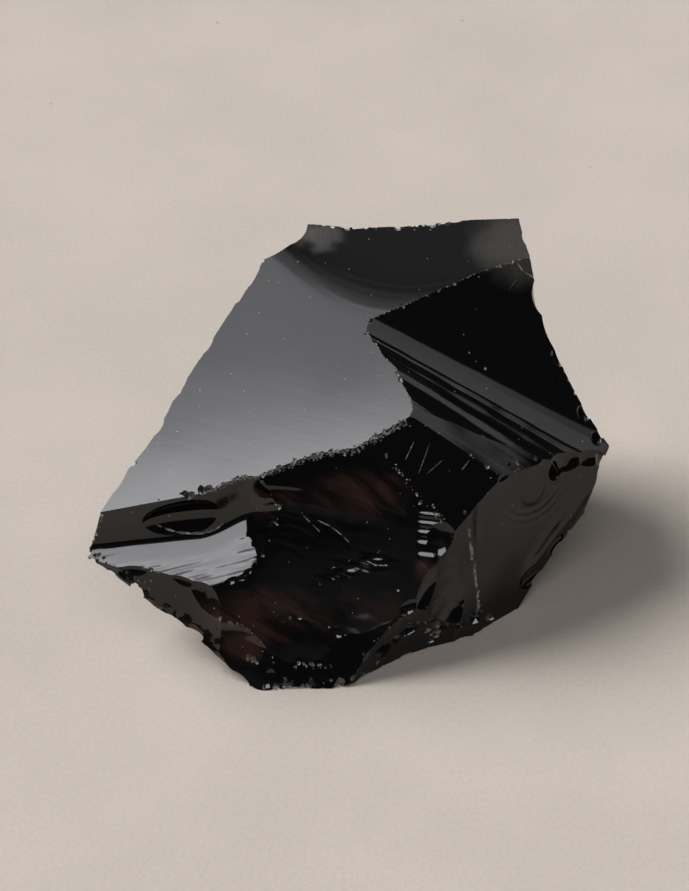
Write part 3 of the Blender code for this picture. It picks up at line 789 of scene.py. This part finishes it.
def glassMaterial():
    material, shader = newMaterial("volcanicGlass")
    connect = material.node_tree.links.new
    shader.inputs["IOR"].default_value = glass["ior"]
    place = addNode(material, "TexCoord").outputs["Object"]
    drift = noise(material, place, 190.0, 3.0).outputs["Color"]
    drift = combineVectors(material, "SUBTRACT", drift, (0.5, 0.5, 0.5))
    loose = combineVectors(material, "MULTIPLY_ADD", drift, (0.006, 0.006, 0.006), place)

    # coordinates that follow the streaks
    run = Vector(glass["streaks"]).normalized()
    side = run.orthogonal().normalized()
    rows = [addNode(material, "VectorMath", [(0, place), (1, list(axis * scale))], operation="DOT_PRODUCT")
            for axis, scale in ((run, 45.0), (side, 300.0), (run.cross(side), 300.0))]
    flow = addNode(material, "CombineXYZ", [(i, row.outputs["Value"]) for i, row in enumerate(rows)])
    streak = noise(material, flow.outputs["Vector"], 1.0, 3.0, 0.55, 0.9).outputs["Fac"]
    streak = ramp(material, streak, 0.40, 0.60, 0.12, 1.0)
    warmth = combine(material, "MULTIPLY", patches(material, loose, glass["warm"]), streak)

    # crushed glass, painted highlight lines, worn places with a painted sheen, and dust
    fine = noise(material, place, 3200.0, 3.0).outputs["Fac"]
    wornAndSheen = patches(material, loose, glass["wornAndSheen"])
    wornAndSheen = combine(material, "MULTIPLY", wornAndSheen, ramp(material, fine, 0.25, 0.75, 0.7, 1.0))
    frostAndHighlight = addNode(material, "Attribute", attribute_name="frostAndHighlight").outputs["Fac"]
    frostAndHighlight = combine(material, "MULTIPLY", frostAndHighlight, ramp(material, fine, 0.35, 0.65, 0.35, 1.0))
    frostAndHighlight = combine(material, "MAXIMUM", frostAndHighlight, wornAndSheen)
    grains = addNode(material, "TexVoronoi", [("Vector", place), ("Scale", 540.0)]).outputs["Distance"]
    flecks = addNode(material, "TexVoronoi", [("Vector", place), ("Scale", 120.0)]).outputs["Distance"]
    grains, flecks = ramp(material, grains, 0.055, 0.03), ramp(material, flecks, 0.022, 0.014)
    dust = combine(material, "MAXIMUM", grains, flecks)

    colour = blend(material, warmth, (*glass["colour"], 1.0), (*glass["warmColour"], 1.0))
    colour = blend(material, frostAndHighlight, colour, (*glass["frostAndHighlightColour"], 1.0))
    colour = blend(material, dust, colour, (*glass["dustColour"], 1.0))
    connect(colour, shader.inputs["Base Color"])

    smudge = noise(material, place, 55.0, 4.0, distortion=0.6).outputs["Fac"]
    roughness = ramp(material, smudge, 0.35, 0.7, *glass["roughness"])
    links = [(0, combine(material, "MAXIMUM", frostAndHighlight, dust)), (2, roughness), (3, glass["frostRoughness"])]
    dull = addNode(material, "Mix", links, data_type="FLOAT")
    connect(dull.outputs[0], shader.inputs["Roughness"])

    bump = addNode(material, "Bump", [("Strength", 0.25), ("Distance", 0.00001), ("Height", fine)])
    connect(bump.outputs["Normal"], shader.inputs["Normal"])
    return material


chunk = makeStone()
chipEdges(chunk)
chunk.data.materials.clear()
chunk.data.materials.append(glassMaterial())
print("stone:", len(chunk.data.polygons), "faces")
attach(chunk, "root")
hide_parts("obsidian_chunk")


# studio, in metres; lights: where they come from, how wide they look in degrees, strength
studio = dict(
    floorColour=(0.62, 0.552, 0.492),
    backdropColour=(0.575, 0.512, 0.457), backdropRadius=2.8,
    keyFrom=(-0.59, 0.32, 0.55), keyWidth=36.0, keyStrength=3.75,
    fillFrom=(0.1, -0.5, 0.9), fillWidth=62.0, fillStrength=0.62,
    cards=(
        # panels that the glass mirrors; side: share of the width that the glow fades in over,
        # stops: brightness from front to back (place, share)
        dict(name="cardOver", middle=(-0.12, 0.01, 0.55), size=(0.30, 0.70), strength=8.0, side=0.12,
             stops=((0.0, 0.0), (0.057, 0.7), (0.486, 0.76), (0.60, 0.9), (0.643, 1.0), (0.66, 0.8),
                    (0.679, 0.52), (0.697, 0.385), (0.714, 0.345), (0.771, 0.32), (0.826, 0.275),
                    (0.85, 0.135), (0.939, 0.075), (1.0, 0.03)), colour=(0.955, 0.96, 1.0)),
        dict(name="cardBack", middle=(-0.03, 0.47, 0.55), size=(0.60, 0.30), strength=0.22, side=0.3,
             stops=((0.0, 0.0), (0.2, 1.0), (0.8, 1.0), (1.0, 0.0)), colour=(1.0, 1.0, 1.0)),
        dict(name="cardFront", middle=(-0.02, -0.62, 0.55), size=(1.2, 0.52), strength=0.10, side=0.3,
             stops=((0.0, 0.0), (0.3, 0.6), (0.8, 1.0), (1.0, 0.2)), colour=(0.88, 0.93, 1.0)),
        dict(name="cardRight", middle=(0.24, 0.16, 0.55), size=(0.34, 0.54), strength=0.95, side=0.2,
             stops=((0.0, 0.0), (0.12, 1.0), (0.9, 1.0), (1.0, 0.0)), colour=(1.0, 0.96, 0.94)),
    ),
    worldColour=(0.9, 0.95, 1.0), worldStrength=0.03,
    aimHeight=0.018, cameraDistance=0.42, cameraElevation=40.0, lens=112.0,     # metres, degrees, mm
)


def makeFloor():
    points = np.array([(-3, -3, 0), (3, -3, 0), (3, 5, 0), (-3, 5, 0)], dtype=float)
    floor = meshObject("floor", points, [[0, 1, 2, 3]])
    material, shader = newMaterial("floorPlaster")
    place = addNode(material, "TexCoord").outputs["Object"]
    patch = noise(material, place, 26.0, 5.0, 0.55).outputs["Fac"]
    grain = noise(material, place, 1500.0, 3.0).outputs["Fac"]
    grits = addNode(material, "TexVoronoi", [("Vector", place), ("Scale", 60.0)]).outputs["Distance"]
    light = combine(material, "ADD", ramp(material, patch, 0.3, 0.7, 0.955, 1.03),
                    ramp(material, grain, 0.25, 0.75, -0.03, 0.03))
    light = combine(material, "MULTIPLY", light, ramp(material, grits, 0.012, 0.03, 0.72, 1.0))
    links = [(0, studio["floorColour"]), ("Scale", light)]
    colour = addNode(material, "VectorMath", links, operation="SCALE")
    material.node_tree.links.new(colour.outputs["Vector"], shader.inputs["Base Color"])
    bump = addNode(material, "Bump", [("Strength", 0.5), ("Distance", 0.00012), ("Height", grain)])
    material.node_tree.links.new(bump.outputs["Normal"], shader.inputs["Normal"])
    shader.inputs["Roughness"].default_value = 0.8
    shader.inputs["Specular IOR Level"].default_value = 0.2
    floor.data.materials.append(material)


def makeBackdrop():
    # pale wall far round the floor; the glass doesn't mirror it
    turn = np.linspace(0.0, 2.0 * np.pi, 96, endpoint=False)
    ring = np.stack([np.cos(turn), np.sin(turn), np.zeros_like(turn)], axis=-1) * studio["backdropRadius"]
    count = len(ring)
    faces = [[i, (i + 1) % count, (i + 1) % count + count, i + count] for i in range(count)]
    wall = meshObject("backdrop", np.vstack([ring, ring + (0.0, 0.0, 4.0)]), faces)
    material, shader = newMaterial("backdrop")
    shader.inputs["Base Color"].default_value = (0.0, 0.0, 0.0, 1.0)
    shader.inputs["Specular IOR Level"].default_value = 0.0
    shader.inputs["Emission Color"].default_value = (*studio["backdropColour"], 1.0)
    shader.inputs["Emission Strength"].default_value = 1.0
    wall.data.materials.append(material)
    wall.visible_diffuse = False
    wall.visible_shadow = False
    wall.visible_glossy = False


def makeLight(name, source, width, strength):
    data = bpy.data.lights.new(name, "SUN")
    data.angle = math.radians(width)
    data.energy = strength
    light = bpy.data.objects.new(name, data)
    light.location = source
    light.rotation_euler = Vector(source).to_track_quat("Z", "Y").to_euler()
    light.visible_glossy = False     # the glass mirrors the cards alone
    bpy.context.scene.collection.objects.link(light)


def makeCard(name, middle, size, strength, side, stops, colour):
    # glowing panel that only shows as a reflection in the glass
    x, y = size[0] / 2, size[1] / 2
    card = meshObject(name, np.array([(-x, -y, 0), (x, -y, 0), (x, y, 0), (-x, y, 0)]), [[0, 3, 2, 1]])
    card.location = middle
    material = newMaterial(name)[0]
    material.node_tree.nodes.clear()
    place = addNode(material, "TexCoord").outputs["Generated"]
    parts = addNode(material, "SeparateXYZ", [("Vector", place)])
    bright = addNode(material, "ValToRGB", [("Fac", parts.outputs["Y"])])
    points = bright.color_ramp.elements
    for number, (spot, share) in enumerate(stops):
        point = points[number] if number < 2 else points.new(spot)
        point.position = spot
        point.color = (share, share, share, 1.0)
    fromSide = combine(material, "PINGPONG", parts.outputs["X"], 0.5)
    power = ramp(material, fromSide, 0.0, side, 0.0, strength)
    power = combine(material, "MULTIPLY", bright.outputs["Color"], power)
    glow = addNode(material, "Emission", [("Color", (*colour, 1.0)), ("Strength", power)])
    addNode(material, "OutputMaterial", [("Surface", glow.outputs["Emission"])])
    card.data.materials.append(material)
    card.visible_camera = False
    card.visible_diffuse = False
    card.visible_shadow = False


def makeLights():
    for name in ("key", "fill"):
        makeLight(name, studio[name + "From"], studio[name + "Width"], studio[name + "Strength"])
    for card in studio["cards"]:
        makeCard(**card)
    print("studio lit:", len(studio["cards"]), "cards")


def makeWorld():
    world = bpy.data.worlds.new("studio")
    world.use_nodes = True
    shader = world.node_tree.nodes["Background"]
    shader.inputs["Color"].default_value = (*studio["worldColour"], 1.0)
    shader.inputs["Strength"].default_value = studio["worldStrength"]
    bpy.context.scene.world = world


def makeCamera():
    target = Vector(stone["seat"]) * mm + Vector((0.0, 0.0, studio["aimHeight"]))
    elevation = math.radians(studio["cameraElevation"])
    away = Vector((0.0, -math.cos(elevation), math.sin(elevation)))
    data = bpy.data.cameras.new("camera")
    data.lens = studio["lens"]
    data.sensor_width = 36.0
    camera = bpy.data.objects.new("camera", data)
    camera.location = target + away * studio["cameraDistance"]
    camera.rotation_euler = (math.radians(90.0) - elevation, 0.0, 0.0)
    bpy.context.scene.collection.objects.link(camera)
    bpy.context.scene.camera = camera


makeFloor()
makeBackdrop()
makeLights()
makeWorld()
makeCamera()
bpy.context.scene.view_settings.view_transform = "Standard"
